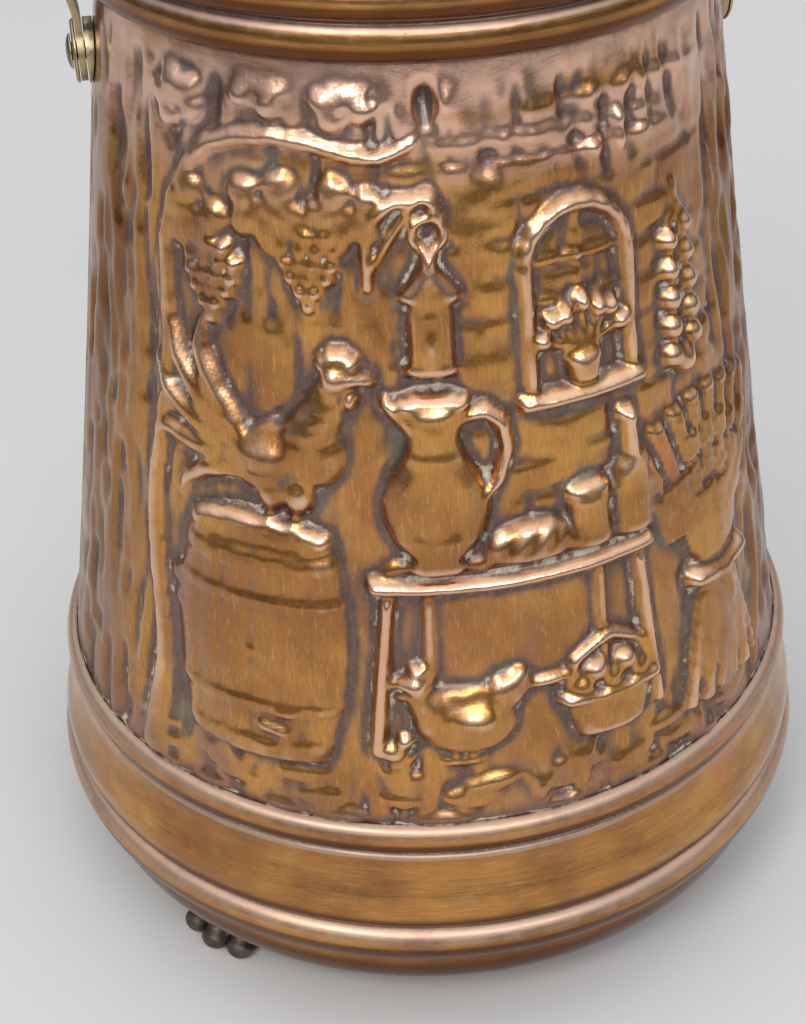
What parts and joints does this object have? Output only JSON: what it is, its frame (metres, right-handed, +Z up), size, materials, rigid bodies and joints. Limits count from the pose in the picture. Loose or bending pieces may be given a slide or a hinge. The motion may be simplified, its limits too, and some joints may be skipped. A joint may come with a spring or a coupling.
{
  "type": "coal scuttle",
  "caption": "Tapering embossed copper coal bucket with a rolled rim, beaded base ring, cast paw feet and a swinging strap bail with a turned wooden grip.",
  "frame": {"origin": "on the floor, under the middle of the bucket's base ring", "axes": "+Z up; the ears and the bail's hinge lie along X; the embossed front faces -Y"},
  "size_m": [0.259, 0.259, 0.4415],
  "materials": {
    "embossed_copper": "aged copper sheet, golden brown with mauve and grey-green patina in the hollows and pale worn high spots",
    "spun_copper": "aged spun copper, golden brown, smoother than the wall, with fine scratches and worn bead tops",
    "cast_feet": "dark grey casting, satin, rubbed brighter on the toes",
    "steel_fixings": "dull steel",
    "brass_fittings": "tarnished brass with polished edges",
    "bail_strap": "dark grey-brown patinated brass strap",
    "turned_wood": "dark stained turned hardwood, satin, worn in the middle"
  },
  "bodies": {
    "bucket": {"body_front": "embossed_copper", "body_rear": "embossed_copper", "rim_collar": "spun_copper", "rim_wire": "steel_fixings", "base_ring": "spun_copper", "bottom_pan": "spun_copper", "foot_left": "cast_feet", "foot_right": "cast_feet", "foot_rear": "cast_feet", "foot_bolt_left": "steel_fixings", "foot_bolt_right": "steel_fixings", "foot_bolt_rear": "steel_fixings", "foot_washer_left": "steel_fixings", "foot_washer_right": "steel_fixings", "foot_washer_rear": "steel_fixings", "ear_boss_left": "brass_fittings", "ear_boss_right": "brass_fittings", "ear_rosette_left": "brass_fittings", "ear_rosette_right": "brass_fittings", "pivot_rivet_left": "brass_fittings", "pivot_rivet_right": "brass_fittings", "backing_plate_left": "steel_fixings", "backing_plate_right": "steel_fixings"},
    "bail": {"bail": "bail_strap"},
    "grip": {"grip": "turned_wood", "ferrule_left": "brass_fittings", "ferrule_right": "brass_fittings"}
  },
  "joints": [
    {"name": "bail_swing", "type": "hinge", "parent": "bucket", "child": "bail", "pos_m": [0, 0, 0.286], "axis": [1, 0, 0], "range_deg": [-120, 120]},
    {"name": "grip_spin", "type": "hinge", "parent": "bail", "child": "grip", "pos_m": [0, 0, 0.428], "axis": [1, 0, 0], "continuous": true}
  ]
}
